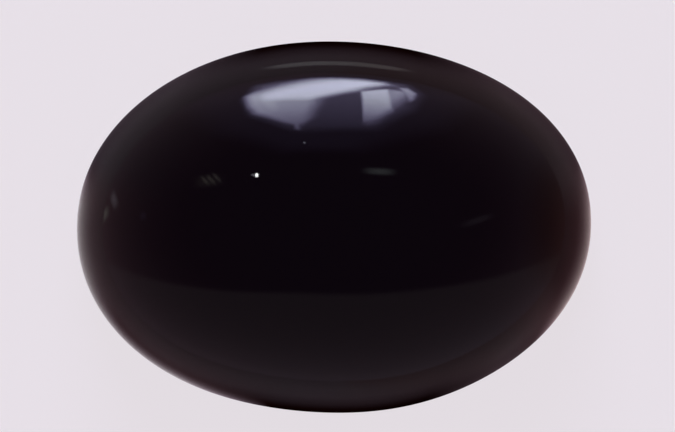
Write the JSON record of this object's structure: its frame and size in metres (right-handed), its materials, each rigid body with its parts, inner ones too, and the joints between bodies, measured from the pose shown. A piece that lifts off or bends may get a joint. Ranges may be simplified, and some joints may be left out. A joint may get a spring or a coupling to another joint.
{
  "type": "fire opal cabochon",
  "caption": "Oval opal cabochon with a smooth polished dome, a thin girdle and a flat bevelled back; near-black, with a brown translucent rim.",
  "frame": {"origin": "on the plane of the flat back, under the middle of the stone's bounding box", "axes": "+X along the oval's length, +Y along its width, +Z from the flat back to the top of the dome"},
  "size_m": [0.011, 0.008, 0.0033],
  "materials": {
    "polished_opal": "high polish on a very dark brown, nearly opaque opal that lets brown light through where it is thin"
  },
  "bodies": {
    "root": {"cabochon": "polished_opal"}
  },
  "joints": []
}
